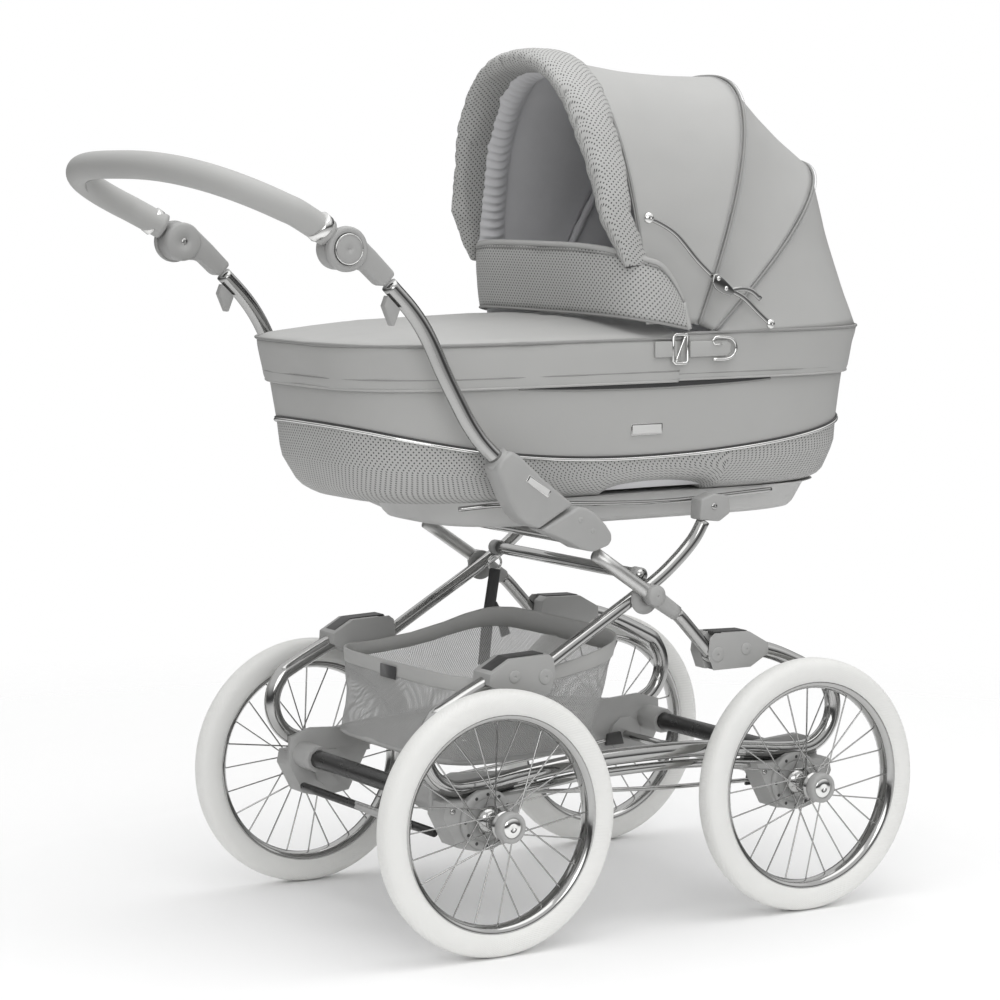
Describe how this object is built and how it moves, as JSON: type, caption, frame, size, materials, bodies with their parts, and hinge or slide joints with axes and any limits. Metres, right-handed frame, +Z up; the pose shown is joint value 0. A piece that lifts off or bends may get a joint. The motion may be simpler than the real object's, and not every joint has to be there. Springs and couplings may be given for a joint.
{
  "type": "pram",
  "caption": "Classic baby pram with a hooded carrycot on a folding C-spring chassis with wire-spoked wheels and a tilting handlebar",
  "frame": {"origin": "On the floor, below the middle of the overall length and width", "axes": "+Z up, +Y towards the handlebar, +X towards the left side as pushed"},
  "size_m": [0.614, 1.148, 1.2156],
  "materials": {
    "chrome": "polished chrome-plated steel",
    "dark_metal": "semi-gloss black painted steel tube",
    "plastic": "satin moulded mid-grey plastic",
    "dark_plastic": "matt moulded grey plastic",
    "leatherette": "light grey leatherette with fine grain",
    "perforated": "light grey leatherette punched with rows of small holes",
    "lining": "soft grey cotton",
    "mesh": "grey spacer mesh with leatherette binding",
    "tyre": "matt white solid rubber with fine knurling"
  },
  "bodies": {
    "chassis": {"spring_tube_right": "chrome", "spring_tube_left": "chrome", "hub_bracket_front_right": "plastic", "hub_bracket_front_left": "plastic", "hub_bracket_rear_right": "plastic", "hub_bracket_rear_left": "plastic", "axle_front": "chrome", "axle_rear": "chrome", "tie_tube_front": "dark_metal", "tie_tube_rear": "dark_metal", "spring_block_front_right": "plastic", "spring_block_front_left": "plastic", "spring_block_rear_right": "plastic", "spring_block_rear_left": "plastic", "basket": "mesh"},
    "wheel_front_right": {"tyre_front_right": "tyre", "wheel_front_right": "chrome"},
    "wheel_front_left": {"tyre_front_left": "tyre", "wheel_front_left": "chrome"},
    "wheel_rear_right": {"tyre_rear_right": "tyre", "wheel_rear_right": "chrome"},
    "wheel_rear_left": {"tyre_rear_left": "tyre", "wheel_rear_left": "chrome"},
    "front_legs": {"front_leg_right": "chrome", "front_leg_left": "chrome", "lock_lower_right": "plastic", "lock_lower_left": "plastic", "lock_cross_tube": "chrome"},
    "rear_legs": {"rear_leg_right": "chrome", "rear_leg_left": "chrome", "centre_cross_tube": "chrome"},
    "handle": {"lock_upper_right": "plastic", "lock_upper_left": "plastic", "handle_arm_right": "chrome", "handle_arm_left": "chrome", "knuckle_sleeve_right": "plastic", "knuckle_sleeve_left": "plastic"},
    "handlebar": {"handle_grip": "leatherette", "knuckle_cap_right": "plastic", "knuckle_cap_left": "plastic"},
    "knuckle_button_right": {"knuckle_button_right": "plastic"},
    "fold_trigger_right": {"fold_trigger_right": "plastic"},
    "knuckle_button_left": {"knuckle_button_left": "plastic"},
    "fold_trigger_left": {"fold_trigger_left": "plastic"},
    "brake_pedal": {"brake_pedal": "plastic"},
    "carrycot": {"cot_tray": "dark_plastic", "cot_body": "leatherette", "mattress": "lining", "apron": "leatherette", "hood_panel_rear": "leatherette"},
    "wind_flap": {"wind_flap": "perforated"},
    "rear_bow": {"bow_rear": "chrome"},
    "middle_bow": {"bow_middle": "chrome", "hood_panel_middle": "leatherette"},
    "front_bow": {"hood_roll": "perforated", "hood_panel_front": "leatherette"},
    "stay_upper": {"stay_upper_right": "chrome", "stay_upper_left": "chrome"},
    "stay_lower": {"stay_lower_right": "chrome", "stay_lower_left": "chrome"}
  },
  "joints": [
    {"name": "wheel_front_right_spin", "type": "hinge", "parent": "chassis", "child": "wheel_front_right", "pos_m": [-0.267, -0.3744, 0.18], "axis": [1, 0, 0], "continuous": true},
    {"name": "wheel_front_left_spin", "type": "hinge", "parent": "chassis", "child": "wheel_front_left", "pos_m": [0.267, -0.3744, 0.18], "axis": [1, 0, 0], "continuous": true},
    {"name": "wheel_rear_right_spin", "type": "hinge", "parent": "chassis", "child": "wheel_rear_right", "pos_m": [-0.267, 0.1384, 0.18], "axis": [1, 0, 0], "continuous": true},
    {"name": "wheel_rear_left_spin", "type": "hinge", "parent": "chassis", "child": "wheel_rear_left", "pos_m": [0.267, 0.1384, 0.18], "axis": [1, 0, 0], "continuous": true},
    {"name": "chassis_fold", "type": "hinge", "parent": "chassis", "child": "front_legs", "pos_m": [0, -0.236, 0.37], "axis": [-1, 0, 0], "range_deg": [0, 18]},
    {"name": "rear_leg_fold", "type": "hinge", "parent": "chassis", "child": "rear_legs", "pos_m": [0, 0.042, 0.363], "axis": [1, 0, 0], "range_deg": [0, 18]},
    {"name": "handle_fold", "type": "hinge", "parent": "front_legs", "child": "handle", "pos_m": [0, 0.008, 0.598], "axis": [1, 0, 0], "range_deg": [0, 60]},
    {"name": "handlebar_tilt", "type": "hinge", "parent": "handle", "child": "handlebar", "pos_m": [0, 0.354, 0.943], "axis": [1, 0, 0], "range_deg": [-70, 50]},
    {"name": "knuckle_button_right_press", "type": "slide", "parent": "handlebar", "child": "knuckle_button_right", "axis": [1, 0, 0], "range_m": [0, 0.004], "stiffness_N_per_m": 1500, "springref_m": -0.0005},
    {"name": "fold_trigger_right_pull", "type": "slide", "parent": "handle", "child": "fold_trigger_right", "axis": [0, 0.6967, 0.7174], "range_m": [0, 0.008], "stiffness_N_per_m": 800, "springref_m": -0.001},
    {"name": "knuckle_button_left_press", "type": "slide", "parent": "handlebar", "child": "knuckle_button_left", "axis": [-1, 0, 0], "range_m": [0, 0.004], "stiffness_N_per_m": 1500, "springref_m": -0.0005},
    {"name": "fold_trigger_left_pull", "type": "slide", "parent": "handle", "child": "fold_trigger_left", "axis": [0, 0.6967, 0.7174], "range_m": [0, 0.008], "stiffness_N_per_m": 800, "springref_m": -0.001},
    {"name": "brake_pedal_press", "type": "hinge", "parent": "chassis", "child": "brake_pedal", "pos_m": [0, 0.188, 0.158], "axis": [-1, 0, 0], "range_deg": [0, 18]},
    {"name": "carrycot_lift", "type": "slide", "parent": "chassis", "child": "carrycot", "axis": [0, 0, 1], "range_m": [0, 0.1]},
    {"name": "wind_flap_fold", "type": "hinge", "parent": "carrycot", "child": "wind_flap", "pos_m": [0, -0.202, 0.815], "axis": [-1, 0, 0], "range_deg": [0, 30], "deforming": ["wind_flap"]},
    {"name": "bow_rear_fold", "type": "hinge", "parent": "carrycot", "child": "rear_bow", "pos_m": [0, -0.213, 0.8], "axis": [1, 0, 0], "range_deg": [0, 10], "deforming": ["hood_panel_rear"]},
    {"name": "bow_middle_fold", "type": "hinge", "parent": "rear_bow", "child": "middle_bow", "pos_m": [0, -0.213, 0.8], "axis": [1, 0, 0], "range_deg": [0, 20], "deforming": ["hood_panel_middle"]},
    {"name": "hood_fold", "type": "hinge", "parent": "middle_bow", "child": "front_bow", "pos_m": [0, -0.213, 0.8], "axis": [1, 0, 0], "range_deg": [0, 33], "deforming": ["hood_panel_front"]},
    {"name": "stay_upper_fold", "type": "hinge", "parent": "front_bow", "child": "stay_upper", "pos_m": [0, -0.131, 0.978], "axis": [1, 0, 0], "range_deg": [0, 39.2]},
    {"name": "stay_lower_fold", "type": "hinge", "parent": "carrycot", "child": "stay_lower", "pos_m": [0, -0.335, 0.829], "axis": [-1, 0, 0], "range_deg": [0, 19.5]}
  ],
  "couplings": [
    {"joint": "rear_leg_fold", "follows": "chassis_fold", "ratio": 1},
    {"joint": "bow_rear_fold", "follows": "hood_fold", "ratio": 0.30303},
    {"joint": "bow_middle_fold", "follows": "hood_fold", "ratio": 0.60606},
    {"joint": "stay_upper_fold", "follows": "hood_fold", "ratio": 1.1878},
    {"joint": "stay_lower_fold", "follows": "hood_fold", "ratio": 0.5909}
  ]
}
